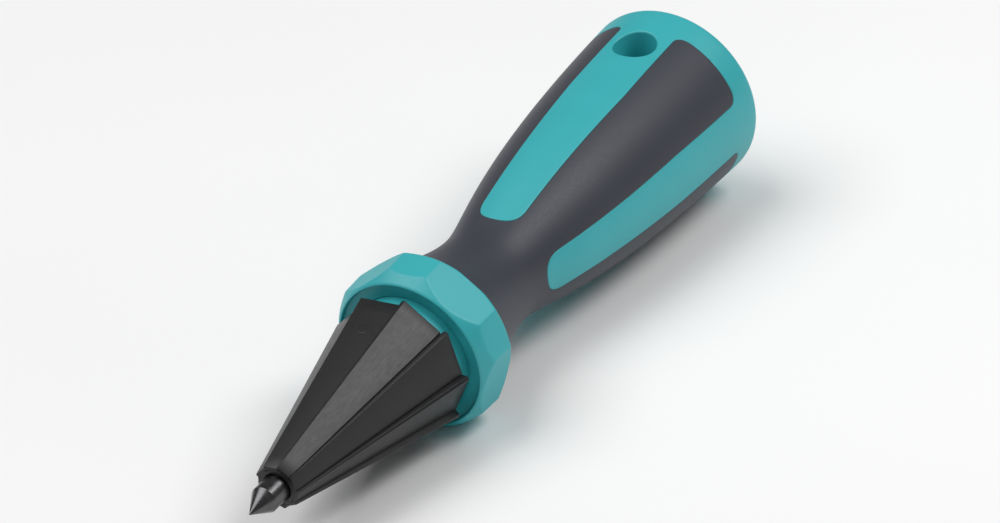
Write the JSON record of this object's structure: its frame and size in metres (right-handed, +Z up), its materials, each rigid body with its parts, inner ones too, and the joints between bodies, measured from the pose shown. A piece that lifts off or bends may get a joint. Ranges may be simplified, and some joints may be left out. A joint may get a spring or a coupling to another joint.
{
  "type": "hand deburring tool",
  "caption": "Hand deburring tool: conical fluted steel cutter with a ground point, anti-roll collar and a waisted two-component handle with a hang hole.",
  "frame": {"origin": "centre of the bounding box's underside, under the middle of the tool as it lies on a flat surface", "axes": "+X from the cutter's point to the butt, +Z up with the hang hole upright, +Y to the left when looking from the point to the butt with +Z up"},
  "size_m": [0.154, 0.0374, 0.0374],
  "materials": {
    "black_steel": "satin black oxide",
    "bright_steel": "ground",
    "teal_plastic": "satin moulded",
    "grey_rubber": "soft matt"
  },
  "bodies": {
    "root": {"point_spindle": "bright_steel", "front_ring": "bright_steel", "cutter_head": "black_steel", "drive_pin": "black_steel", "thrust_washer": "bright_steel", "collar": "teal_plastic", "handle_core": "teal_plastic", "grip_overmould": "grey_rubber"}
  },
  "joints": []
}
